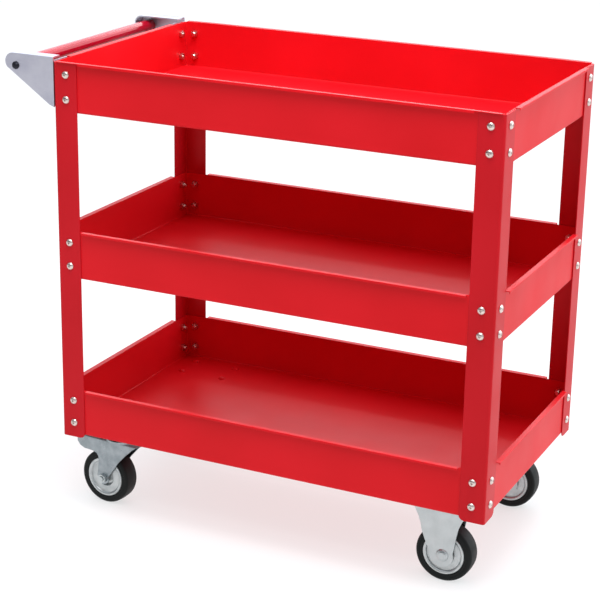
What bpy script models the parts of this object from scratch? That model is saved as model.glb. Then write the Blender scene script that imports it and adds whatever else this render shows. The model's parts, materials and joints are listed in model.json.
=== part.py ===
"""Rolling utility cart: three folded-steel trays on four angle posts, a push handle and four casters.

Metres, +Z up. +X runs along the cart away from the handle, +Y goes to the back.
The origin lies on the floor, under the middle of the whole cart.
"""
import math

import bmesh
import bpy
from mathutils import Matrix, Vector

MM = 0.001
GAP = 0.3 * MM                      # clearance between pieces that touch
TUCK = 0.2 * MM                     # how far a joined face lies inside its neighbour's

# Cart
POST_SPAN_X = 680 * MM              # over the outer faces of the posts
POST_SPAN_Y = 384 * MM
LEG = 38 * MM                       # width of each leg of an angle post
POST_T = 1.5 * MM
POST_BEND = 3.5 * MM
POST_CORNER = 8 * MM                # rounding of a leg's lower free corner
POST_FOOT = 121 * MM                # height of the posts' lower ends

# Trays
TRAY_Z = (125.5 * MM, 374.25 * MM, 623 * MM)
TRAY_NAMES = ("bottom_tray", "middle_tray", "top_tray")
TRAY_H = 73.5 * MM
SHEET = 1.2 * MM
TRAY_BEND = 3.5 * MM
RIM_WIDTH = 5 * MM                  # flat flange turned outwards at the top of each wall
LIP = 2.2 * MM                      # edge turned down from the flange
RIM_CLEAR = 4 * MM                  # from a rim's end to the post beside it

# Bolts that join posts and trays
BOLT_EDGE = 20 * MM                 # from the cart's corner to a bolt's centre
BOLT_LOW = 19 * MM                # lower bolt above the tray's underside
BOLT_PITCH = 36 * MM
HOLE_R = 3.3 * MM

# Handle
HANDLE_REACH = 82 * MM              # from the end posts to the brackets' tips
TUBE_R = 10 * MM
TUBE_WALL = 1.5 * MM
TUBE_BACK = 18 * MM                 # from the brackets' tips to the tube's axis
TUBE_Z = 683.5 * MM
BRACKET_T = 2 * MM
BRACKET_TOP = 701.5 * MM
BRACKET_LOW = 632 * MM
BRACKET_TIP_R = 13 * MM
TIP_TURN = 200                      # degrees from +X to where the turned edge ends round the tip
BRACKET_FLANGE = 20 * MM            # top edge turned towards the cart's middle, and round the tip
PLUG_LENGTH = 16 * MM

# Casters
CASTER_INSET_X = 72 * MM            # from the cart's end to the centre of a caster's plate
CASTER_INSET_Y = 53.5 * MM
PLATE = (95 * MM, 67 * MM, 2.5 * MM)
PLATE_HOLES = (37 * MM, 24 * MM)    # half spacings of the plate's four bolts
WHEEL_R = 43 * MM
TYRE_W = 28 * MM
HUB_R = 31.5 * MM
HUB_W = 28 * MM
FORK_IN = 15.5 * MM                 # from the wheel's middle to a fork leg's inner face
FORK_T = 2.5 * MM
TRAIL = 25 * MM                     # swivel axis to axle
REST_TURN = math.radians(5)         # how far both swivel casters are turned at rest
CROWN_Z = 111 * MM                  # top of a swivel fork
CROWN_T = 2.5 * MM
CROWN_BEND = 7 * MM
RACE_H = 11 * MM                    # from the fork's crown to the plate's race
RACE_R = 26 * MM
FORK_LENGTH = 180 * MM              # of the channel that a swivel fork is cut from
AXLE_R = 4 * MM
AXLE_NUT_H = 5 * MM
SLEEVE_R = 5.2 * MM
PIN_R = 4.5 * MM

LEFT = -(POST_SPAN_X / 2 + HANDLE_REACH)
RIGHT = POST_SPAN_X / 2 - POST_T - GAP + RIM_WIDTH + SHEET
CART_X = -(LEFT + RIGHT) / 2        # middle of the posts, from the middle of the whole cart
PLATE_TOP = TRAY_Z[0] - GAP
PLATE_Z = PLATE_TOP - PLATE[2]


def clear_scene():
    for old in list(bpy.data.objects):
        bpy.data.objects.remove(old, do_unlink=True)


clear_scene()
PARTS = bpy.data.collections.new("utility_cart")
CUTTERS = bpy.data.collections.new("cutters")
bpy.context.scene.collection.children.link(PARTS)
bpy.context.scene.collection.children.link(CUTTERS)


def material(name, colour, roughness, metallic):
    made = bpy.data.materials.new(name)
    made.use_nodes = True
    shader = made.node_tree.nodes["Principled BSDF"]
    shader.inputs["Base Color"].default_value = (*colour, 1.0)
    shader.inputs["Roughness"].default_value = roughness
    shader.inputs["Metallic"].default_value = metallic
    return made


RED = material("red powder coat", (0.62, 0.012, 0.018), 0.35, 0.0)
HANDLE_RED = material("red gloss paint", (0.55, 0.008, 0.03), 0.18, 0.0)
BRACKET_ZINC = material("bracket zinc plate", (0.55, 0.55, 0.60), 0.32, 1.0)
ZINC = material("caster zinc plate", (0.50, 0.52, 0.53), 0.35, 1.0)
WHEEL_GREY = material("pressed wheel steel", (0.58, 0.60, 0.60), 0.40, 0.9)
RUBBER = material("black rubber", (0.016, 0.018, 0.022), 0.60, 0.0)
STEEL = material("bolt steel", (0.62, 0.60, 0.58), 0.30, 1.0)
NYLON = material("black nylon", (0.03, 0.03, 0.03), 0.50, 0.0)


# ---------------------------------------------------------------- helpers
def finish_mesh(name, bm, look, collection=PARTS, smooth=None):
    mesh = bpy.data.meshes.new(name)
    bm.to_mesh(mesh)
    bm.free()
    if smooth is not None:
        mesh.shade_smooth()
        mesh.set_sharp_from_angle(angle=math.radians(smooth))
    made = bpy.data.objects.new(name, mesh)
    collection.objects.link(made)
    if look:
        made.data.materials.append(look)
    return made


def as_cutter(tool):
    tool.hide_render = True
    tool.display_type = "WIRE"
    return tool


def place(thing, location=(0, 0, 0), rotation=(0, 0, 0), parent=None):
    thing.location = location
    thing.rotation_euler = rotation
    thing.parent = parent
    return thing


def boolean(target, tool, operation):
    cut = target.modifiers.new(operation.lower(), "BOOLEAN")
    cut.operation = operation
    cut.object = tool
    cut.solver = "EXACT"
    return target


def box(name, size, centre, look=None, collection=CUTTERS, round_edges=0.0):
    bm = bmesh.new()
    bmesh.ops.create_cube(bm, size=1.0)
    bmesh.ops.scale(bm, vec=size, verts=bm.verts)
    if round_edges:
        upright = [e for e in bm.edges if abs((e.verts[0].co - e.verts[1].co).z) > 1e-6]
        bmesh.ops.bevel(bm, geom=upright, offset=round_edges, segments=2, profile=0.5, affect="EDGES")
    bmesh.ops.translate(bm, vec=centre, verts=bm.verts)
    return finish_mesh(name, bm, look, collection)


def add_rod(bm, radius, start, end, sides):
    """Adds a capped cylinder between two points to bm."""
    start, end = Vector(start), Vector(end)
    along = end - start
    spin = along.to_track_quat("Z", "Y").to_matrix().to_4x4()
    middle = Matrix.Translation((start + end) / 2)
    bmesh.ops.create_cone(bm, cap_ends=True, segments=sides, radius1=radius, radius2=radius,
                          depth=along.length, matrix=middle @ spin)


def rods(name, specs, sides=8, look=None, collection=CUTTERS):
    """One object of separate cylinders, each given as (radius, start, end)."""
    bm = bmesh.new()
    for radius, start, end in specs:
        add_rod(bm, radius, start, end, sides)
    made = finish_mesh(name, bm, look, collection)
    return as_cutter(made) if collection is CUTTERS else made


def turned(name, profile, look, steps, closed=False):
    """Turns a profile of (radius, height) points, listed from top to bottom, about local Z."""
    mesh = bpy.data.meshes.new(name)
    last = len(profile) - 1
    edges = [(i, i + 1) for i in range(last)]
    if closed:
        edges.append((last, 0))
    mesh.from_pydata([(r, 0.0, z) for r, z in profile], edges, [])
    made = bpy.data.objects.new(name, mesh)
    PARTS.objects.link(made)
    made.data.materials.append(look)
    screw = made.modifiers.new("turn", "SCREW")
    screw.axis = "Z"
    screw.steps = steps
    screw.render_steps = steps
    screw.use_merge_vertices = True
    screw.merge_threshold = 0.00001
    screw.use_smooth_shade = True
    return made


def arc(centre, radius, start, end, count):
    """Points on an arc from angle start to end, in degrees, both ends included."""
    turns = [math.radians(start + (end - start) * i / count) for i in range(count + 1)]
    return [(centre[0] + radius * math.cos(t), centre[1] + radius * math.sin(t)) for t in turns]


def flat_plate(name, outline, thickness, look=None, collection=CUTTERS):
    """An outline of (x, z) points as an upright plate about y = 0."""
    curve = bpy.data.curves.new(name, "CURVE")
    curve.dimensions = "2D"
    curve.fill_mode = "BOTH"
    curve.extrude = thickness / 2
    spline = curve.splines.new("POLY")
    spline.points.add(len(outline) - 1)
    for point, (x, z) in zip(spline.points, outline):
        point.co = (x, z, 0, 1)
    spline.use_cyclic_u = True
    drawn = bpy.data.objects.new(name + "_outline", curve)
    collection.objects.link(drawn)
    drawn.rotation_euler = (math.pi / 2, 0, 0)
    bpy.context.view_layer.update()
    mesh = bpy.data.meshes.new_from_object(drawn.evaluated_get(bpy.context.evaluated_depsgraph_get()))
    mesh.transform(drawn.matrix_world)
    bpy.data.objects.remove(drawn, do_unlink=True)
    bm = bmesh.new()
    bm.from_mesh(mesh)
    bpy.data.meshes.remove(mesh)
    bmesh.ops.remove_doubles(bm, verts=bm.verts, dist=0.00001)
    bmesh.ops.recalc_face_normals(bm, faces=bm.faces)
    made = finish_mesh(name, bm, look, collection)
    return as_cutter(made) if collection is CUTTERS else made


def sheet(thing, thickness):
    """Gives an open surface its sheet thickness, towards the side away from its normals."""
    solid = thing.modifiers.new("sheet", "SOLIDIFY")
    solid.thickness = thickness
    solid.offset = -1.0
    solid.use_even_offset = True
    return thing


# ---------------------------------------------------------------- frame
def bolt_heights(tray_z):
    return (tray_z + BOLT_LOW, tray_z + BOLT_LOW + BOLT_PITCH)


def corner_bolt_cutters():
    """Clearance holes for every post bolt: two a leg, four a corner, at each tray."""
    reach = 5 * MM
    specs = []
    for sx in (-1, 1):
        for sy in (-1, 1):
            face_x = CART_X + sx * POST_SPAN_X / 2
            face_y = sy * POST_SPAN_Y / 2
            side_x = face_x - sx * BOLT_EDGE
            end_y = face_y - sy * BOLT_EDGE
            for z in [height for tray_z in TRAY_Z for height in bolt_heights(tray_z)]:
                specs.append((HOLE_R, (side_x, face_y - reach, z), (side_x, face_y + reach, z)))
                specs.append((HOLE_R, (face_x - reach, end_y, z), (face_x + reach, end_y, z)))
    return rods("corner_bolt_holes", specs)


def caster_centre(sx, sy):
    x = CART_X + sx * (POST_SPAN_X / 2 - CASTER_INSET_X)
    return Vector((x, sy * (POST_SPAN_Y / 2 - CASTER_INSET_Y), 0))


def plate_bolt_places(sx, sy):
    centre = caster_centre(sx, sy)
    return [centre + Vector((i * PLATE_HOLES[0], j * PLATE_HOLES[1], 0)) for i in (-1, 1) for j in (-1, 1)]


def plate_bolt_cutters():
    specs = []
    for sx in (-1, 1):
        for sy in (-1, 1):
            for p in plate_bolt_places(sx, sy):
                specs.append((HOLE_R, (p.x, p.y, PLATE_Z - 2 * MM), (p.x, p.y, PLATE_TOP + 4 * MM)))
    return rods("caster_bolt_holes", specs)


def angle_post(name, sx, sy, holes):
    top = TRAY_Z[-1] + TRAY_H - SHEET - GAP
    height = top - POST_FOOT
    corner_x = CART_X + sx * POST_SPAN_X / 2
    corner_y = sy * POST_SPAN_Y / 2
    bm = bmesh.new()
    bmesh.ops.create_grid(bm, x_segments=1, y_segments=1, size=0.5)
    bmesh.ops.scale(bm, vec=(LEG, height, 1), verts=bm.verts)
    bmesh.ops.rotate(bm, cent=(0, 0, 0), matrix=Matrix.Rotation(math.pi / 2, 3, "X"), verts=bm.verts)
    middle = (corner_x - sx * LEG / 2, corner_y, POST_FOOT + height / 2)
    bmesh.ops.translate(bm, vec=middle, verts=bm.verts)
    bend = [e for e in bm.edges if all(abs(v.co.x - corner_x) < 1e-6 for v in e.verts)]
    grown = bmesh.ops.extrude_edge_only(bm, edges=bend)["geom"]
    end_leg = [v for v in grown if isinstance(v, bmesh.types.BMVert)]
    bmesh.ops.translate(bm, vec=(0, -sy * LEG, 0), verts=end_leg)
    on_corner = [v for v in bm.verts if abs(v.co.x - corner_x) < 1e-6 and abs(v.co.y - corner_y) < 1e-6]
    low = [v for v in bm.verts if abs(v.co.z - POST_FOOT) < 1e-6 and v not in on_corner]
    bmesh.ops.bevel(bm, geom=low, offset=POST_CORNER, segments=3, profile=0.5, affect="VERTICES")
    bend = [e for e in bm.edges if all(abs(v.co.x - corner_x) < 1e-6 and abs(v.co.y - corner_y) < 1e-6
                                       for v in e.verts)]
    bmesh.ops.bevel(bm, geom=bend, offset=POST_BEND, segments=3, profile=0.5, affect="EDGES")
    bm.normal_update()
    side = next(f for f in bm.faces if abs(f.normal.y) > 0.99)
    if side.normal.y * sy < 0:
        bmesh.ops.reverse_faces(bm, faces=bm.faces)
    post = sheet(finish_mesh(name, bm, RED), POST_T)
    return boolean(post, holes, "DIFFERENCE")


def straight_rim(bm, z, axis, side, lowest, highest):
    """The top edges of one wall between two places along it."""
    other = 1 - axis
    picked = []
    for edge in bm.edges:
        a, b = (v.co for v in edge.verts)
        level = abs(a.z - z) < 1e-6 and abs(b.z - z) < 1e-6
        on_wall = abs(a[axis] - side) < 1e-6 and abs(b[axis] - side) < 1e-6
        within = all(lowest - 1e-6 < v[other] < highest + 1e-6 for v in (a, b))
        if level and on_wall and within:
            picked.append(edge)
    return picked


def grow(bm, edges, step):
    """Extrudes edges by a step."""
    grown = bmesh.ops.extrude_edge_only(bm, edges=edges)["geom"]
    corners = [v for v in grown if isinstance(v, bmesh.types.BMVert)]
    bmesh.ops.translate(bm, vec=step, verts=corners)


def tray(name, z, tools):
    """A folded tray. Its rims stop short of the posts, but the top tray's long ones cover their ends."""
    half = (POST_SPAN_X / 2 - POST_T - GAP, POST_SPAN_Y / 2 - POST_T - GAP)
    wall_top = z + TRAY_H - SHEET
    bm = bmesh.new()
    bmesh.ops.create_cube(bm, size=1.0)
    bmesh.ops.scale(bm, vec=(2 * half[0], 2 * half[1], wall_top - z), verts=bm.verts)
    bmesh.ops.translate(bm, vec=(CART_X, 0, (z + wall_top) / 2), verts=bm.verts)
    lid = [f for f in bm.faces if f.normal.z > 0.9]
    bmesh.ops.delete(bm, geom=lid, context="FACES_ONLY")
    folds = [e for e in bm.edges if len(e.link_faces) == 2]
    bmesh.ops.bevel(bm, geom=folds, offset=TRAY_BEND, segments=2, profile=0.5, affect="EDGES")
    ends = (POST_SPAN_X / 2 - LEG - RIM_CLEAR, POST_SPAN_Y / 2 - LEG - RIM_CLEAR)
    for place_x in (CART_X - ends[0], CART_X + ends[0]):
        bmesh.ops.bisect_plane(bm, geom=bm.verts[:] + bm.edges[:] + bm.faces[:],
                               plane_co=(place_x, 0, 0), plane_no=(1, 0, 0))
    for place_y in (-ends[1], ends[1]):
        bmesh.ops.bisect_plane(bm, geom=bm.verts[:] + bm.edges[:] + bm.faces[:],
                               plane_co=(0, place_y, 0), plane_no=(0, 1, 0))
    walls = [(1, s, s * half[1], CART_X, ends[0]) for s in (-1, 1)]
    walls += [(0, s, CART_X + s * half[0], 0, ends[1]) for s in (-1, 1)]
    for axis, s, side, middle, reach in walls:
        out = Vector((0, 0, 0))
        out[axis] = s
        over_posts = z == TRAY_Z[-1] and axis == 1
        flange_reach = POST_SPAN_X if over_posts else reach
        edges = straight_rim(bm, wall_top, axis, side, middle - flange_reach, middle + flange_reach)
        outer = side + s * RIM_WIDTH
        grow(bm, edges, out * RIM_WIDTH)
        lip_edges = straight_rim(bm, wall_top, axis, outer, middle - reach, middle + reach)
        grow(bm, lip_edges, Vector((0, 0, -LIP)))
    made = sheet(finish_mesh(name, bm, RED), SHEET)
    for tool in tools:
        boolean(made, tool, "DIFFERENCE")
    return made


# ---------------------------------------------------------------- handle
def bracket_outline():
    """Side of a handle bracket in x, z: a wedge with a rounded tip."""
    back = CART_X - POST_SPAN_X / 2 - GAP
    tip = (LEFT + CART_X + BRACKET_TIP_R, BRACKET_TOP - BRACKET_TIP_R)
    low = (back - 8 * MM, BRACKET_LOW)
    slope = math.atan2(tip[1] - low[1], low[0] - tip[0])
    reach = math.asin(BRACKET_TIP_R / math.dist(tip, low))
    tangent = math.degrees(slope + reach)
    round_tip = arc(tip, BRACKET_TIP_R, 90, 270 - tangent, 6)
    return [(back, BRACKET_TOP)] + round_tip + [low, (back, BRACKET_LOW - 3 * MM)]


def turned_edge(right):
    """Strip in x, z along the bracket's top and round its tip, just inside its outline."""
    tip = (LEFT + CART_X + BRACKET_TIP_R, BRACKET_TOP - BRACKET_TIP_R)
    outer_r = BRACKET_TIP_R - TUCK
    inner_r = outer_r - BRACKET_T
    outer = arc(tip, outer_r, 90, TIP_TURN, 6)
    inner = arc(tip, inner_r, TIP_TURN, 90, 6)
    return [(right, tip[1] + outer_r)] + outer + inner + [(right, tip[1] + inner_r)]


def handle_bracket(name, sy, holes):
    """Bent sheet: a wedge beside the post, a flange on the end posts and a turned top edge."""
    face = sy * POST_SPAN_Y / 2
    back = CART_X - POST_SPAN_X / 2 - GAP
    bracket = flat_plate(name, bracket_outline(), BRACKET_T, BRACKET_ZINC, PARTS)
    place(bracket, (0, face - sy * BRACKET_T / 2, 0))
    low = BRACKET_LOW - 2 * MM
    high = TRAY_Z[-1] + TRAY_H
    flange = box(name + "_flange", (BRACKET_T, LEG - TUCK, high - low),
                 (back - BRACKET_T / 2 - TUCK, face - sy * (LEG + TUCK) / 2, (high + low) / 2))
    top = flat_plate(name + "_top", turned_edge(back - BRACKET_T), BRACKET_FLANGE)
    place(top, (0, face - sy * (TUCK + BRACKET_FLANGE / 2), 0))
    tube_x = LEFT + CART_X + TUBE_BACK
    hole = rods(name + "_screw_hole", [(HOLE_R, (tube_x, face - sy * 6 * MM, TUBE_Z),
                                        (tube_x, face + sy * 6 * MM, TUBE_Z))])
    for tool, operation in ((flange, "UNION"), (top, "UNION"), (hole, "DIFFERENCE"), (holes, "DIFFERENCE")):
        boolean(bracket, as_cutter(tool), operation)
    return bracket


def handle():
    """Tube between the brackets, with a plug and a screw in each end."""
    tube_x = LEFT + CART_X + TUBE_BACK
    half = POST_SPAN_Y / 2 - BRACKET_T - GAP
    inner = TUBE_R - TUBE_WALL
    profile = [(TUBE_R, half), (TUBE_R, -half), (inner, -half), (inner, half)]
    tube = turned("handle_tube", profile, HANDLE_RED, 20, closed=True)
    place(tube, (tube_x, 0, TUBE_Z), (-math.pi / 2, 0, 0))
    for label, sy in (("front", -1), ("back", 1)):
        plug_r = inner - GAP
        bore = 2.6 * MM
        plug = turned("handle_plug_" + label,
                      [(plug_r, 0), (plug_r, -PLUG_LENGTH), (bore, -PLUG_LENGTH), (bore, 0)],
                      NYLON, 12, closed=True)
        turn = (-sy * math.pi / 2, 0, 0)
        place(plug, (tube_x, sy * (half - GAP), TUBE_Z), turn)
        head = [(0, 3.2 * MM), (3.5 * MM, 2.8 * MM), (5.6 * MM, 1.2 * MM), (5.8 * MM, 0),
                (2.3 * MM, 0), (2.3 * MM, -14 * MM), (0, -14 * MM)]
        screw = turned("handle_screw_" + label, head, STEEL, 12)
        place(screw, (tube_x, sy * (POST_SPAN_Y / 2 + GAP), TUBE_Z), turn)


# ---------------------------------------------------------------- casters
def caster_bolt(name, place_at):
    """Pan-head bolt down through the tray's floor and a caster plate."""
    profile = [(0, 3.4 * MM), (3.5 * MM, 3.0 * MM), (5.6 * MM, 1.2 * MM), (5.8 * MM, 0),
               (3 * MM, 0), (3 * MM, -12 * MM), (0, -12 * MM)]
    bolt = turned(name, profile, STEEL, 8)
    return place(bolt, (place_at.x, place_at.y, TRAY_Z[0] + SHEET + GAP))


def swivel_fork_outline():
    """Side of a swivel fork in x, z from its swivel axis, in mm: the wheel trails towards -X."""
    above = CROWN_Z / MM + 5
    eye = arc((-TRAIL / MM, WHEEL_R / MM), 10.5, 20, -180, 7)
    front = [(46, above), (46, 110), (36.5, 106), (27.5, 99), (16, 87.5), (4, 74), (-3, 64), (-10, 54)]
    rear = [(-34.5, 60), (-33, 70), (-33.5, 77), (-37, 82), (-45, 84.5), (-60, 85), (-68, 88.5), (-73, 95),
            (-73, above)]
    return [(x * MM, z * MM) for x, z in front + eye + rear]


def fixed_fork_outline():
    """Side of a fixed fork in x, z from its axle, in mm: its edges flare out to the plate."""
    plate = PLATE_Z / MM
    eye = arc((-2, 42), 18.5, 20, -170, 8)
    right = [(42, plate), (35, 111), (27, 99), (22.5, 88), (20, 75), (18, 62)]
    left = [(-23, 52), (-27.5, 62), (-32.5, 75), (-35, 87), (-38, 96), (-42.5, 105), (-46, 114), (-46.5, plate)]
    return [(x * MM, z * MM) for x, z in right + eye + left]


def channel_section(half, bottom):
    """Upturned U in y, z with rounded bends: the crown and both legs of a swivel fork."""
    inner_bend = CROWN_BEND - FORK_T
    bends = (half - CROWN_BEND, CROWN_Z - CROWN_BEND)
    outer = [(half, bottom)] + arc(bends, CROWN_BEND, 0, 90, 4)
    inner = arc(bends, inner_bend, 90, 0, 4) + [(half - FORK_T, bottom)]
    mirrored = [[(-y, z) for y, z in reversed(side)] for side in (outer, inner)]
    return outer + mirrored[0] + mirrored[1] + inner


def axle_hole(name, x, parent):
    reach = FORK_IN + FORK_T + 5 * MM
    radius = AXLE_R + GAP
    hole = rods(name, [(radius, (x, -reach, WHEEL_R), (x, reach, WHEEL_R))], sides=12)
    return place(hole, parent=parent)


def wheel_set(label, parent, axle_x, nut_side):
    """Axle bolt, nut, sleeve, hub and tyre of one caster, turned about the axle."""
    at = (axle_x, 0, WHEEL_R)
    turn = (-math.pi / 2, 0, 0)
    out = FORK_IN + FORK_T + GAP
    bolt_turn = (nut_side * math.pi / 2, 0, 0)
    end = out + AXLE_NUT_H + 1.5 * MM
    head = [(0, out + 3 * MM), (5 * MM, out + 2.7 * MM), (8.5 * MM, out + 1.4 * MM), (9.5 * MM, out),
            (AXLE_R, out), (AXLE_R, -end), (0, -end)]
    place(turned("axle_bolt_" + label, head, STEEL, 12), at, bolt_turn, parent)
    nut = rods("axle_nut_" + label, [(7.5 * MM, (0, 0, -out - AXLE_NUT_H), (0, 0, -out))], 6, STEEL, PARTS)
    thread = rods("axle_thread_" + label, [(AXLE_R + GAP, (0, 0, -end), (0, 0, -out + 1 * MM))], 12)
    place(nut, at, bolt_turn, parent)
    place(thread, at, bolt_turn, parent)
    boolean(nut, thread, "DIFFERENCE")
    half = FORK_IN - GAP
    sleeve = [(SLEEVE_R, half), (SLEEVE_R, -half), (AXLE_R + GAP, -half), (AXLE_R + GAP, half)]
    place(turned("axle_sleeve_" + label, sleeve, STEEL, 12, closed=True), at, turn, parent)
    bore = SLEEVE_R + GAP
    boss = (8 * MM, FORK_IN - 0.8 * MM)
    face = HUB_W / 2
    recess = face - 7 * MM          # floor of the deep ring round the boss
    upper = [(bore, boss[1]), boss, (9 * MM, recess), (13 * MM, recess), (15 * MM, face - 1.6 * MM),
             (24 * MM, face - 2 * MM), (25.5 * MM, face - 2.8 * MM), (27 * MM, face - 0.8 * MM),
             (29 * MM, face), (HUB_R, face - 1 * MM)]
    lower = [(r, -z) for r, z in reversed(upper)]
    place(turned("wheel_hub_" + label, upper + lower, WHEEL_GREY, 24, closed=True), at, turn, parent)
    inside = HUB_R + GAP
    edge = TYRE_W / 2
    tyre = [(inside, edge), (39 * MM, edge), (42 * MM, edge - 3 * MM), (WHEEL_R, edge - 7 * MM),
            (WHEEL_R, -edge + 7 * MM), (42 * MM, -edge + 3 * MM), (39 * MM, -edge), (inside, -edge)]
    place(turned("tyre_" + label, tyre, RUBBER, 32, closed=True), at, turn, parent)


def caster_base(label, sx, sy, turn):
    base = bpy.data.objects.new("caster_" + label, None)
    PARTS.objects.link(base)
    return place(base, caster_centre(sx, sy), (0, 0, turn))


def mounting_plate(name, sx, sy, collection):
    centre = caster_centre(sx, sy)
    return box(name, PLATE, (centre.x, centre.y, PLATE_Z + PLATE[2] / 2), ZINC, collection, round_edges=6 * MM)


def fixed_caster(label, sy, holes):
    """A fork in one piece with its plate, and a wheel on a bolt."""
    base = caster_base(label, 1, sy, 0)
    name = "fixed_fork_" + label
    middle = FORK_IN + FORK_T / 2
    fork = place(flat_plate(name, fixed_fork_outline(), FORK_T, ZINC, PARTS), (0, -middle, 0), parent=base)
    leg = place(flat_plate(name + "_leg", fixed_fork_outline(), FORK_T), (0, middle, 0), parent=base)
    plate = as_cutter(mounting_plate(name + "_plate", 1, sy, CUTTERS))
    axle = axle_hole(name + "_hole", 0, base)
    for tool, operation in ((leg, "UNION"), (plate, "UNION"), (axle, "DIFFERENCE"), (holes, "DIFFERENCE")):
        boolean(fork, tool, operation)
    wheel_set(label, base, 0, -sy)


def swivel_caster(label, sy, holes):
    """A plate with its race, a king pin, and a fork that turns under them."""
    centre = caster_centre(-1, sy)
    base = caster_base(label, -1, sy, -REST_TURN)
    upper = CROWN_Z + RACE_H        # underside of the plate's race
    plate = mounting_plate("swivel_plate_" + label, -1, sy, PARTS)
    cup = rods("swivel_plate_cup_" + label, [(RACE_R, (centre.x, centre.y, upper),
                                              (centre.x, centre.y, PLATE_Z + 1 * MM))], sides=20)
    hollow = rods("swivel_plate_hollow_" + label, [(RACE_R - 9 * MM, (centre.x, centre.y, upper - 1 * MM),
                                                    (centre.x, centre.y, PLATE_Z))], sides=20)
    pin_hole = rods("swivel_plate_hole_" + label, [(PIN_R + GAP, (centre.x, centre.y, upper - 1 * MM),
                                                    (centre.x, centre.y, PLATE_TOP + 1 * MM))], sides=12)
    boolean(plate, cup, "UNION")
    for tool in (hollow, pin_hole, holes):
        boolean(plate, tool, "DIFFERENCE")
    ring_r = 4.2 * MM
    ring_z = CROWN_Z + RACE_H / 2
    gap_r = RACE_R - 4.5 * MM       # middle radius of the ball race
    race = [(gap_r + ring_r * math.cos(t), ring_z + ring_r * math.sin(t))
            for t in [math.radians(90 - 60 * i) for i in range(6)]]
    place(turned("ball_race_" + label, race, STEEL, 20, closed=True), (0, 0, 0), (0, 0, 0), base)
    crown_under = CROWN_Z - CROWN_T
    pin = [(0, PLATE_TOP - GAP), (PIN_R, PLATE_TOP - GAP), (PIN_R, crown_under - GAP),
           (8 * MM, crown_under - GAP), (7 * MM, crown_under - 3 * MM), (0, crown_under - 3 * MM)]
    place(turned("king_pin_" + label, pin, STEEL, 12), centre)
    name = "swivel_fork_" + label
    half = FORK_IN + FORK_T
    fork = flat_plate(name, channel_section(half, 20 * MM), FORK_LENGTH, ZINC, PARTS)
    place(fork, (-TRAIL, 0, 0), (0, 0, math.pi / 2), base)
    side = flat_plate(name + "_side", swivel_fork_outline(), 2 * half + 2 * MM)
    place(side, parent=base)
    seat = rods(name + "_seat", [(RACE_R, (0, 0, crown_under), (0, 0, CROWN_Z + 1 * MM))], sides=20)
    place(seat, parent=base)
    hole = rods(name + "_pin_hole", [(PIN_R + GAP, (0, 0, CROWN_Z - 9 * MM), (0, 0, CROWN_Z + 9 * MM))], sides=12)
    place(hole, parent=base)
    axle = axle_hole(name + "_hole", -TRAIL, base)
    for tool, operation in ((side, "INTERSECT"), (seat, "UNION"), (hole, "DIFFERENCE"), (axle, "DIFFERENCE")):
        boolean(fork, tool, operation)
    wheel_set(label, base, -TRAIL, sy)


def build():
    holes = corner_bolt_cutters()
    plate_holes = plate_bolt_cutters()
    corners = [(label_y + "_" + label_x, sx, sy) for label_y, sy in (("front", -1), ("back", 1))
               for label_x, sx in (("left", -1), ("right", 1))]
    for label, sx, sy in corners:
        angle_post("post_" + label, sx, sy, holes)
    for name, z in zip(TRAY_NAMES, TRAY_Z):
        tray(name, z, [holes, plate_holes] if z == TRAY_Z[0] else [holes])
    for label, sy in (("front", -1), ("back", 1)):
        handle_bracket("handle_bracket_" + label, sy, holes)
        fixed_caster(label + "_right", sy, plate_holes)
        swivel_caster(label + "_left", sy, plate_holes)
    handle()
    for label, sx, sy in corners:
        for number, p in enumerate(plate_bolt_places(sx, sy), 1):
            caster_bolt("caster_bolt_%s_%d" % (label, number), p)


build()
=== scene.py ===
"""Looks of a red rolling utility cart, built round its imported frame.

Metres, +Z up. +X runs along the cart away from the handle, +Y goes to the back.
"""
import json
import math

import bmesh
import bpy
from mathutils import Matrix, Vector


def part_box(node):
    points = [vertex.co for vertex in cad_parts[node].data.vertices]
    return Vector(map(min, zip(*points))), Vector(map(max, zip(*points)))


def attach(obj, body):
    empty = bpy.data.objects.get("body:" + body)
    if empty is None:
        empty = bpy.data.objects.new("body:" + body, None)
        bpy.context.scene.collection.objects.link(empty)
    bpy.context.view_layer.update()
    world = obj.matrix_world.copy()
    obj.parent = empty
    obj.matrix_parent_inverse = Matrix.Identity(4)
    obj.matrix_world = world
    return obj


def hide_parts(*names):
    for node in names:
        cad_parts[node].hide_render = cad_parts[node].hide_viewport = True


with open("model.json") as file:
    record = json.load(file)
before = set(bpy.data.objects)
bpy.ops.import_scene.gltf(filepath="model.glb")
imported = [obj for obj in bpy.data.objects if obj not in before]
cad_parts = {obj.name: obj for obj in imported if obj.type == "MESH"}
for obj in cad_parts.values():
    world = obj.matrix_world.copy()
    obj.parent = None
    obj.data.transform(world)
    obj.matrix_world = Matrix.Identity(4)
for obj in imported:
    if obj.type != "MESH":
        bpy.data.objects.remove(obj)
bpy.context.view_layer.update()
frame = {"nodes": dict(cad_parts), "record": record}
NODES = frame["nodes"]

MM = 0.001


# ---------------------------------------------------------------- sizes read from the frame
def node_box(name):
    low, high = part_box(name)
    return Vector(low), Vector(high)


CORNERS = {"front_left": (-1, -1), "front_right": (1, -1), "back_left": (-1, 1), "back_right": (1, 1)}
TRAYS = ("bottom_tray", "middle_tray", "top_tray")
SHEET = 1.2 * MM                    # tray sheet
POST_T = 1.5 * MM                   # post sheet
GAP = 0.3 * MM                      # between sheets that touch
BOLT_EDGE = 20 * MM                 # from the cart's corner to a bolt's centre
BOLT_LOW = 19 * MM                  # lower bolt above a tray's underside
BOLT_PITCH = 36 * MM
FLANGE_STAND = 2.5 * MM             # outer face of a handle bracket's flange beyond the post's
PLATE_T = 2.5 * MM                  # caster plate
WELD = 0.002 * MM                   # vertices closer than this become one


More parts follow.
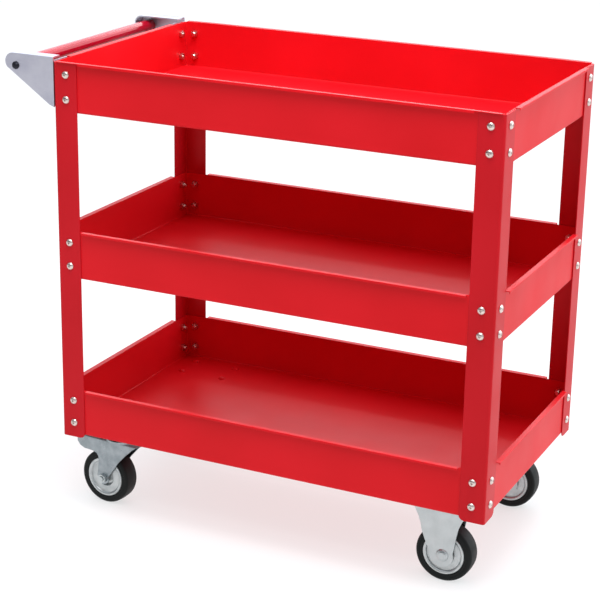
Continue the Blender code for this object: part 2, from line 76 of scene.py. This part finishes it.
# ---------------------------------------------------------------- materials
def linear(code):
    """An sRGB hex colour as linear RGBA."""
    parts = [int(code[i:i + 2], 16) / 255 for i in (1, 3, 5)]
    return tuple(p / 12.92 if p <= 0.04045 else ((p + 0.055) / 1.055) ** 2.4 for p in parts) + (1.0,)


def add_node(tree, kind, settings=None, links=None):
    """Adds a node, sets its properties or unlinked sockets by name, and links its other sockets."""
    made = tree.nodes.new("ShaderNode" + kind)
    for key, value in (settings or {}).items():
        if isinstance(key, str) and hasattr(made, key):
            setattr(made, key, value)
        else:
            made.inputs[key].default_value = value
    for key, source in (links or {}).items():
        tree.links.new(source, made.inputs[key])
    return made


def start_material(name, settings):
    """A new material: its tree, its surface shader and its object coordinates."""
    made = bpy.data.materials.new(name)
    made.use_nodes = True
    tree = made.node_tree
    surface = tree.nodes["Principled BSDF"]
    for key, value in settings.items():
        surface.inputs[key].default_value = value
    places = add_node(tree, "TexCoord").outputs["Object"]
    return made, tree, surface, places


def per_metre(size):
    """Texture scale at which one feature is about this many metres."""
    return 1.0 / size


def mottle(tree, places, size, detail=2.0, stretch=None):
    """Soft noise with features of a real size, 0 to 1."""
    where = places
    if stretch:
        where = add_node(tree, "Mapping", {"Scale": stretch}, {"Vector": places}).outputs["Vector"]
    noise = add_node(tree, "TexNoise", {"Scale": per_metre(size), "Detail": detail, "Roughness": 0.55},
                     {"Vector": where})
    return noise.outputs["Fac"]


def between(tree, fac, low, high):
    """Maps 0.3 to 0.7 of a noise to a low and a high value."""
    spread = add_node(tree, "MapRange", {"From Min": 0.3, "From Max": 0.7, "To Min": low, "To Max": high},
                      {"Value": fac})
    return spread.outputs["Result"]


def two_colours(tree, fac, first, second):
    blend = add_node(tree, "Mix", {"data_type": "RGBA", 6: linear(first), 7: linear(second)}, {0: fac})
    return blend.outputs[2]


def relief(tree, height, depth, strength=1.0):
    bump = add_node(tree, "Bump", {"Strength": strength, "Distance": depth}, {"Height": height})
    return bump.outputs["Normal"]


def join(tree, surface, **sockets):
    for key, source in sockets.items():
        tree.links.new(source, surface.inputs[key.replace("_", " ")])


def powder_coat(name, first, second):
    """Red polyester powder coat, sprayed on folded sheet and baked.

    The powder flows into a continuous skin with a soft dimpled orange peel, so the gloss is broad
    and a little uneven, and wipe marks show as duller patches.
    """
    made, tree, surface, places = start_material(
        name, {"Roughness": 0.4, "IOR": 1.5, "Specular IOR Level": 0.14})
    cloud = mottle(tree, places, 0.16, 2.0)
    wipe = mottle(tree, places, 0.07, 2.0)
    peel = mottle(tree, places, 2.6 * MM, 1.0)     # real orange peel is 1 to 2 mm: drawn a little coarser
    join(tree, surface,
         Base_Color=two_colours(tree, between(tree, cloud, 0.0, 1.0), first, second),
         Roughness=between(tree, wipe, 0.37, 0.44),
         Normal=relief(tree, peel, 0.03 * MM))
    return made


def handle_gloss_paint():
    """Red gloss enamel on a drawn steel tube.

    Wet paint levels smoothly round the tube, so it gives one hard bright line along its top.
    """
    made, tree, surface, places = start_material(
        "red_gloss_enamel_on_tube", {"Roughness": 0.14, "IOR": 1.5, "Specular IOR Level": 0.25,
                                     "Coat Weight": 0.25, "Coat Roughness": 0.06})
    cloud = mottle(tree, places, 0.05, 2.0)
    rubbed = mottle(tree, places, 0.02, 3.0, (1.0, 0.3, 1.0))
    join(tree, surface,
         Base_Color=two_colours(tree, between(tree, cloud, 0.0, 1.0), "#98041C", "#A80824"),
         Roughness=between(tree, rubbed, 0.12, 0.22),
         Normal=relief(tree, mottle(tree, places, 5 * MM, 1.0), 0.02 * MM))
    return made


def zinc_finish(name, first, second, rough, cloud_size, grain=(1.0, 1.0, 1.0)):
    """Electroplated zinc on steel: a clouded, slightly bluish metal with faint rolling marks."""
    made, tree, surface, places = start_material(name, {"Metallic": 1.0})
    cloud = mottle(tree, places, cloud_size, 4.0)
    rolled = mottle(tree, places, 3 * MM, 3.0, grain)
    join(tree, surface,
         Base_Color=two_colours(tree, between(tree, cloud, 0.0, 1.0), first, second),
         Roughness=between(tree, rolled, *rough),
         Normal=relief(tree, rolled, 0.015 * MM))
    return made


def bracket_zinc():
    """Satin zinc plate on bent strip, rolled along the cart: even, pale and a touch violet."""
    return zinc_finish("satin_zinc_plated_strip", "#B9B8C6", "#C9C8D2", (0.34, 0.46), 0.03, (0.15, 1.0, 1.0))


def swivel_zinc_painted_shade():
    """Bright zinc plate on the swivel casters' deep-drawn forks, clouded by the bath; painted shade makes it
    greyer and darker than the same plate on the other casters, so these forks read as shaded under the tray.
    """
    return zinc_finish("zinc_plated_drawn_fork_painted_shade", "#858D91", "#9EA5A9", (0.26, 0.4), 0.014,
                       (1.0, 1.0, 0.3))


def caster_zinc():
    """Bright zinc plate on plates and flat-legged forks: cool, with only faint clouds; the plain tone of the
    casters' zinc.
    """
    return zinc_finish("bright_zinc_plated_pressing", "#B2B8B9", "#BEC4C5", (0.28, 0.4), 0.02,
                       (1.0, 1.0, 0.3))


def wheel_zinc():
    """Zinc on the wheels' pressed discs: duller, since the discs are tumbled before plating."""
    return zinc_finish("zinc_plated_wheel_disc", "#B0B5B6", "#C6CACA", (0.34, 0.5), 0.01)


def bolt_zinc():
    """Clear passivated zinc on cold-headed bolts: bright, with a painted warm cast that stands in for the red
    paint reflected round them.
    """
    return zinc_finish("passivated_zinc_bolts", "#CFBDB6", "#DFD0CA", (0.22, 0.34), 4 * MM)


def screw_with_painted_shade():
    """Dark, slightly oily steel on the handle's screws: the darkness is painted shade, standing in for the
    shaded recess at each bracket's tip.
    """
    return zinc_finish("dark_steel_screws_painted_shade", "#2A2A30", "#3A3A42", (0.3, 0.45), 5 * MM)


def tyre_rubber():
    """Hard black rubber, moulded: nearly black and matt, with a fine skin and dust in the tread."""
    made, tree, surface, places = start_material(
        "moulded_black_rubber", {"Roughness": 0.55, "IOR": 1.52, "Specular IOR Level": 0.2})
    dust = mottle(tree, places, 0.012, 4.0)
    grain = mottle(tree, places, 0.9 * MM, 2.0)    # the mould's texture is finer: drawn coarser to show
    join(tree, surface,
         Base_Color=two_colours(tree, between(tree, dust, 0.0, 1.0), "#080B0B", "#121615"),
         Roughness=between(tree, dust, 0.46, 0.66),
         Normal=relief(tree, grain, 0.03 * MM))
    return made


def plug_nylon():
    """Black nylon, injection moulded: satin, with a faint spark-eroded grain."""
    made, tree, surface, places = start_material("moulded_black_nylon", {"Roughness": 0.45, "IOR": 1.53})
    grain = mottle(tree, places, 1.2 * MM, 2.0)
    join(tree, surface,
         Base_Color=two_colours(tree, grain, "#16161A", "#202024"),
         Roughness=between(tree, grain, 0.38, 0.52),
         Normal=relief(tree, grain, 0.02 * MM))
    return made


RED = powder_coat("red_powder_coat_baked", "#D00E18", "#DA121E")
POST_RED_PAINTED_SHADE = powder_coat("red_powder_coat_painted_shade_on_posts", "#BC0C18", "#C6101E")     # painted shade: the same red coat made darker so the posts read as shaded
HANDLE_RED = handle_gloss_paint()
BRACKET_ZINC = bracket_zinc()
SWIVEL_ZINC_PAINTED_SHADE = swivel_zinc_painted_shade()
ZINC = caster_zinc()
WHEEL_ZINC = wheel_zinc()
BOLT_ZINC = bolt_zinc()
SCREW_PAINTED_SHADE = screw_with_painted_shade()
RUBBER = tyre_rubber()
NYLON = plug_nylon()

LOOK_OF_SLOT = {"red_powder_coat": RED, "handle_red_paint": HANDLE_RED, "bracket_zinc": BRACKET_ZINC,
                "zinc_plate": ZINC, "wheel_steel": WHEEL_ZINC, "bolt_steel": BOLT_ZINC,
                "tyre_rubber": RUBBER, "nylon": NYLON}
SLOT_OF_NODE = {subpart["node"]: subpart["material_slot"] for subpart in frame["record"]["subparts"]}
BEHAVIOUR = frame["record"]["behaviour"]
BODY_OF_NODE = {node: body for body, nodes in BEHAVIOUR["bodies"].items() for node in nodes}
OWN_LOOK = {"post": POST_RED_PAINTED_SHADE, "swivel_fork": SWIVEL_ZINC_PAINTED_SHADE, "axle_bolt": ZINC, "axle_nut": ZINC,
            "caster_bolt": RED,                                   # coated with the cart
            "handle_screw": SCREW_PAINTED_SHADE}
for node, slot in SLOT_OF_NODE.items():
    thing = NODES[node]
    look = next((look for start, look in OWN_LOOK.items() if node.startswith(start)), LOOK_OF_SLOT[slot])
    thing.data.materials.clear()
    thing.data.materials.append(look)
    thing.data.shade_smooth()
    thing.data.set_sharp_from_angle(angle=math.radians(32))


# ---------------------------------------------------------------- building pieces
def new_piece(name, bm, look, body, smooth=35):
    """Turns a bmesh into a piece that rides on a body."""
    mesh = bpy.data.meshes.new(name)
    bmesh.ops.recalc_face_normals(bm, faces=bm.faces)
    bm.to_mesh(mesh)
    bm.free()
    mesh.shade_smooth()
    mesh.set_sharp_from_angle(angle=math.radians(smooth))
    mesh.materials.append(look)
    made = bpy.data.objects.new(name, mesh)
    bpy.context.scene.collection.objects.link(made)
    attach(made, body)
    return made


def spin_profile(bm, profile, steps, matrix=None):
    """Turns (radius, height) points about Z, closing the poles where the radius is 0."""
    rings = []
    for radius, height in profile:
        if radius < 1e-9:
            rings.append([bm.verts.new((0, 0, height))])
        else:
            rings.append([bm.verts.new((radius * math.cos(2 * math.pi * i / steps),
                                        radius * math.sin(2 * math.pi * i / steps), height))
                          for i in range(steps)])
    for upper, lower in zip(rings, rings[1:]):
        for i in range(steps):
            j = (i + 1) % steps
            ring = [upper[i % len(upper)], upper[j % len(upper)],
                    lower[j % len(lower)], lower[i % len(lower)]]
            corners = list(dict.fromkeys(ring))
            if len(corners) > 2:
                bm.faces.new(corners)
    if matrix:
        bmesh.ops.transform(bm, matrix=matrix, verts=[v for ring in rings for v in ring])


def facing(direction, place):
    """Matrix that stands a piece built along +Z at a place, along a direction."""
    return Matrix.Translation(place) @ Vector(direction).to_track_quat("Z", "Y").to_matrix().to_4x4()


def copy_mesh(bm, source, matrix):
    """Adds a copy of a mesh to bm, moved by a matrix."""
    before = len(bm.verts)
    bm.from_mesh(source)
    bm.verts.ensure_lookup_table()
    bmesh.ops.transform(bm, matrix=matrix, verts=bm.verts[before:])


def mesh_of(bm, name):
    mesh = bpy.data.meshes.new(name)
    bmesh.ops.recalc_face_normals(bm, faces=bm.faces)
    bm.to_mesh(mesh)
    bm.free()
    return mesh


def cut(mesh, tool):
    """One mesh less another."""
    body = bpy.data.objects.new("body", mesh)
    knife = bpy.data.objects.new("knife", tool)
    for thing in (body, knife):
        bpy.context.scene.collection.objects.link(thing)
    carve = body.modifiers.new("cut", "BOOLEAN")
    carve.operation = "DIFFERENCE"
    carve.object = knife
    carve.solver = "EXACT"
    bpy.context.view_layer.update()
    made = bpy.data.meshes.new_from_object(body.evaluated_get(bpy.context.evaluated_depsgraph_get()))
    bpy.data.objects.remove(body)
    bpy.data.objects.remove(knife)
    return made


# ---------------------------------------------------------------- sheet metal with its real edges
def soft_edged(node, width, steps, name):
    """A node's sheet with its sheared edges and folds rounded over, in place of the node."""
    bm = bmesh.new()
    bm.from_mesh(NODES[node].data)
    bmesh.ops.remove_doubles(bm, verts=bm.verts, dist=WELD)
    bmesh.ops.dissolve_limit(bm, angle_limit=math.radians(0.3), verts=bm.verts, edges=bm.edges)
    made = new_piece(name, bm, NODES[node].data.materials[0], BODY_OF_NODE[node], 40)
    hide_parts(node)
    edge = made.modifiers.new("edges", "BEVEL")
    edge.width = width
    edge.segments = steps
    edge.limit_method = "ANGLE"
    edge.angle_limit = math.radians(50)
    edge.miter_outer = "MITER_ARC"
    level = made.modifiers.new("even_shading", "WEIGHTED_NORMAL")
    level.keep_sharp = True
    level.weight = 90


for tray in TRAYS:
    soft_edged(tray, 0.35 * MM, 2, tray + "_folded_sheet")
for label in CORNERS:
    soft_edged("post_" + label, 0.45 * MM, 2, "post_%s_angle" % label)
for label in ("front", "back"):
    soft_edged("handle_bracket_" + label, 1.4 * MM, 3, "handle_bracket_%s_strip" % label)
    soft_edged("swivel_fork_%s_left" % label, 0.9 * MM, 3, "swivel_fork_%s_left_pressing" % label)
    soft_edged("fixed_fork_%s_right" % label, 1.1 * MM, 3, "fixed_fork_%s_right_pressing" % label)
    soft_edged("swivel_plate_%s_left" % label, 0.5 * MM, 2, "swivel_plate_%s_left_pressing" % label)


# ---------------------------------------------------------------- wheels
TYRE_R = 43 * MM
TYRE_HALF = 14 * MM
HUB_R = 31.5 * MM
HUB_HALF = 14 * MM
SLEEVE_BORE = 5.5 * MM
BOSS_HALF = 14.7 * MM


def tyre_profile():
    """Half of a tyre's section from its seat on the hub to the middle of its tread."""
    seat = HUB_R + GAP
    shoulder = 4.5 * MM
    side = [(seat, TYRE_HALF - 0.6 * MM), (seat + 0.8 * MM, TYRE_HALF), (36 * MM, TYRE_HALF),
            (36.5 * MM, TYRE_HALF - 0.35 * MM), (37 * MM, TYRE_HALF)]
    turn = [math.radians(90 * i / 8) for i in range(9)]
    rounded = [(TYRE_R - 0.5 * MM - shoulder + shoulder * math.sin(t),
                TYRE_HALF - shoulder + shoulder * math.cos(t)) for t in turn]
    return side + rounded + [(TYRE_R - 0.15 * MM, 5 * MM), (TYRE_R, 0.8 * MM)]


def hub_profile():
    """Half of a pressed disc's section, from the sleeve's bore out to the rim."""
    face = HUB_HALF
    recess = face - 7 * MM
    return [(SLEEVE_BORE, BOSS_HALF), (7.6 * MM, BOSS_HALF), (8 * MM, BOSS_HALF - 0.5 * MM),
            (8.6 * MM, recess + 0.6 * MM), (9.4 * MM, recess), (12.6 * MM, recess),
            (13.4 * MM, recess + 0.6 * MM), (14.4 * MM, face - 2.4 * MM), (15.4 * MM, face - 1.6 * MM),
            (23.6 * MM, face - 2 * MM), (24.6 * MM, face - 2.5 * MM), (25.6 * MM, face - 2.5 * MM),
            (26.6 * MM, face - 1 * MM), (28 * MM, face - 0.2 * MM), (29.4 * MM, face),
            (30.8 * MM, face - 0.3 * MM), (HUB_R, face - 1.2 * MM)]


def wheel_piece(name, node, half_section, look, steps):
    """A turned ring in place of a wheel's node, square to the node's own axle."""
    body = BODY_OF_NODE[node]
    joint = next(j for j in BEHAVIOUR["joints"] if j["child"] == body)
    bm = bmesh.new()
    mirrored = [(r, -z) for r, z in reversed(half_section)]
    loop = half_section + mirrored + half_section[:1]
    spin_profile(bm, loop, steps, facing(joint["axis"], joint["pos_m"]))
    bmesh.ops.remove_doubles(bm, verts=bm.verts, dist=WELD)
    made = new_piece(name, bm, look, body, 30)
    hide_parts(node)


for label in CORNERS:
    wheel_piece("tyre_%s_moulding" % label, "tyre_" + label, tyre_profile(), RUBBER, 96)
    wheel_piece("wheel_%s_disc" % label, "wheel_hub_" + label, hub_profile(), WHEEL_ZINC, 72)


# ---------------------------------------------------------------- bolts and nuts
HEAD_R = 5.7 * MM
HEAD_H = 3.3 * MM
SHANK_R = 2.95 * MM
THREAD_PITCH = 1 * MM


def pan_head_bolt(length):
    """M6 pan-head bolt with a cross recess; the head stands on z = 0 and the shank goes down."""
    bm = bmesh.new()
    head = [(0, HEAD_H), (1.6 * MM, 3.25 * MM), (3.2 * MM, 2.95 * MM), (4.6 * MM, 2.2 * MM),
            (5.4 * MM, 1.2 * MM), (HEAD_R, 0.4 * MM), (HEAD_R - 0.2 * MM, 0)]
    thread = [(SHANK_R, 0)]
    z = -2.5 * MM
    while z > -length + 0.8 * MM:
        thread += [(SHANK_R, z), (SHANK_R - 0.45 * MM, z - 0.5 * THREAD_PITCH)]
        z -= THREAD_PITCH
    thread += [(SHANK_R - 0.5 * MM, -length), (0, -length)]
    spin_profile(bm, head + thread, 24)
    bolt = mesh_of(bm, "pan_head_bolt")
    for turn in (0, math.pi / 2):
        recess = bmesh.new()
        arm = bmesh.ops.create_cube(recess, size=1.0)["verts"]
        bmesh.ops.scale(recess, vec=(5.2 * MM, 1.15 * MM, 4 * MM), verts=arm)
        for v in arm:
            if v.co.z < 0:
                v.co.x *= 0.55
        bmesh.ops.rotate(recess, matrix=Matrix.Rotation(turn, 3, "Z"), verts=arm)
        bmesh.ops.translate(recess, vec=(0, 0, HEAD_H + 0.1 * MM), verts=arm)
        bolt = cut(bolt, mesh_of(recess, "recess"))
    return bolt


def hex_nut():
    """M6 nut, 10 mm across its flats, chamfered; it stands on z = 0."""
    bm = bmesh.new()
    across, height, bore = 5.0 * MM, 4.8 * MM, 2.6 * MM
    outer = []
    steps = 24
    for level, reach, round_off in ((0, 1.0, True), (0.6 * MM, 1.2, False), (height - 0.8 * MM, 1.2, False),
                                    (height, 1.0, True)):
        ring = []
        for i in range(steps):
            angle = 2 * math.pi * i / steps
            flat = across / math.cos((angle + math.pi / 6) % (math.pi / 3) - math.pi / 6)
            radius = min(flat, across * 1.02) if round_off else flat
            ring.append(bm.verts.new((radius * math.cos(angle), radius * math.sin(angle), level)))
        outer.append(ring)
    inner = [[bm.verts.new((bore * math.cos(2 * math.pi * i / steps),
                            bore * math.sin(2 * math.pi * i / steps), z))
              for i in range(steps)] for z in (height, 0)]
    rings = outer + inner + [outer[0]]
    for upper, lower in zip(rings, rings[1:]):
        for i in range(steps):
            j = (i + 1) % steps
            bm.faces.new((upper[i], upper[j], lower[j], lower[i]))
    return mesh_of(bm, "hex_nut")


BOLT = pan_head_bolt(12 * MM)
NUT = hex_nut()


def post_fasteners():
    """Two bolts a leg at every tray, heads outside and nuts inside the trays."""
    for label, (sx, sy) in CORNERS.items():
        low, high = node_box("post_" + label)
        corner = Vector((low.x if sx < 0 else high.x, low.y if sy < 0 else high.y, 0))
        for tray in TRAYS:
            base = node_box(tray)[0].z + BOLT_LOW
            for side, out in (("side", Vector((0, sy, 0))), ("end", Vector((sx, 0, 0)))):
                for level, z in (("low", base), ("high", base + BOLT_PITCH)):
                    along = Vector((-sx, 0, 0)) if side == "side" else Vector((0, -sy, 0))
                    place = corner + along * BOLT_EDGE + Vector((0, 0, z))
                    stack = POST_T + GAP + SHEET
                    head_at = place
                    if tray == "top_tray" and side == "end" and sx < 0:
                        head_at = place + out * FLANGE_STAND
                    name = "%s_%s_%s_%s" % (label, tray.split("_")[0], side, level)
                    bm = bmesh.new()
                    copy_mesh(bm, BOLT, facing(out, head_at))
                    new_piece("bolt_" + name, bm, BOLT_ZINC, "root")
                    bm = bmesh.new()
                    copy_mesh(bm, NUT, facing(-out, place - out * stack))
                    new_piece("nut_" + name, bm, BOLT_ZINC, "root")


post_fasteners()


def caster_nuts():
    """Nuts under the caster plates, on the bolts that come down through the bottom tray."""
    for label in CORNERS:
        under = node_box("bottom_tray")[0].z - GAP - PLATE_T
        for number in range(1, 5):
            low, high = node_box("caster_bolt_%s_%d" % (label, number))
            place = Vector(((low.x + high.x) / 2, (low.y + high.y) / 2, under))
            bm = bmesh.new()
            copy_mesh(bm, NUT, facing((0, 0, -1), place))
            new_piece("caster_nut_%s_%d" % (label, number), bm, BOLT_ZINC, "root")


caster_nuts()


# ---------------------------------------------------------------- floor, light and camera
def studio_floor():
    """A plain white floor."""
    bm = bmesh.new()
    bmesh.ops.create_circle(bm, cap_ends=True, segments=96, radius=14.0)
    mesh = bpy.data.meshes.new("studio_floor")
    bm.to_mesh(mesh)
    bm.free()
    floor = bpy.data.objects.new("studio_floor", mesh)
    bpy.context.scene.collection.objects.link(floor)
    made, tree, surface, places = start_material(
        "white_paper", {"Roughness": 0.9, "Specular IOR Level": 0.0, "Emission Color": (1, 1, 1, 1),
                        "Emission Strength": 0.66})
    join(tree, surface, Base_Color=two_colours(tree, mottle(tree, places, 0.6), "#949494", "#989898"))
    mesh.materials.append(made)
    floor.location.z = -0.2 * MM


FRONT_GLOW = 0.05                   # strength of the surroundings, added once for each axis


def studio_light():
    """Bright overhead, behind and to the right, dim low down in front."""
    world = bpy.data.worlds.new("studio")
    bpy.context.scene.world = world
    world.use_nodes = True
    tree = world.node_tree
    sky = tree.nodes["Background"]
    where = add_node(tree, "TexCoord").outputs["Generated"]
    parts = add_node(tree, "SeparateXYZ", {}, {"Vector": where})
    strength = None
    for axis, start, end, gain in (("Z", 0.1, 0.8, 0.9), ("X", 0.0, 0.9, 0.45), ("Y", 0.0, 0.9, 1.9)):
        ramp = add_node(tree, "MapRange", {"From Min": start, "From Max": end, "To Min": 0.0, "To Max": gain},
                        {"Value": parts.outputs[axis]}).outputs["Result"]
        strength = add_node(tree, "Math", {"operation": "ADD", 0: FRONT_GLOW},
                            {1: ramp, **({0: strength} if strength else {})}).outputs["Value"]
    tree.links.new(strength, sky.inputs["Strength"])
    sky.inputs["Color"].default_value = linear("#F2F8FF")
    for name, place, aim, size, power in (
            ("overhead_softbox", (0.35, -0.45, 2.4), (0.0, 0.0, 0.4), (1.6, 0.8), 45),
            ("back_strip", (-0.3, 2.6, 2.0), (-0.3, 0.0, 0.6), (2.2, 0.2), 9),
            ("right_softbox", (2.3, 0.9, 1.3), (0.3, 0.0, 0.4), (1.4, 1.4), 5),
            ("front_key", (0.2, -1.9, 2.9), (0.0, -0.2, 0.4), (0.8, 0.4), 12)):
        lamp = bpy.data.lights.new(name, "AREA")
        lamp.shape = "RECTANGLE"
        lamp.size, lamp.size_y = size
        lamp.energy = power
        made = bpy.data.objects.new(name, lamp)
        bpy.context.scene.collection.objects.link(made)
        made.location = place
        made.rotation_mode = "QUATERNION"
        made.rotation_quaternion = (Vector(aim) - Vector(place)).to_track_quat("-Z", "Y")


def camera():
    """Stands to the right of the handle end's opposite corner and looks down on the trays."""
    lens = bpy.data.cameras.new("camera")
    lens.sensor_width = 36
    lens.lens = 107.0
    lens.clip_start = 0.05
    lens.clip_end = 60
    made = bpy.data.objects.new("camera", lens)
    bpy.context.scene.collection.objects.link(made)
    yaw, down, roll = 0.44277, 0.32742, 0.017565
    right = Vector((math.cos(yaw), math.sin(yaw), 0))
    ahead = Vector((-math.sin(yaw), math.cos(yaw), 0))
    up = Vector((0, 0, 1))
    sight = ahead * math.cos(down) - up * math.sin(down)
    head = up * math.cos(down) + ahead * math.sin(down)
    side = right * math.cos(roll) + head * math.sin(roll)
    crown = head * math.cos(roll) - right * math.sin(roll)
    turn = Matrix((side, crown, -sight)).transposed()
    made.matrix_world = Matrix.Translation((1.0956, -2.3048, 1.1955)) @ turn.to_4x4()
    bpy.context.scene.camera = made


studio_floor()
studio_light()
camera()
bpy.context.scene.view_settings.view_transform = "Standard"
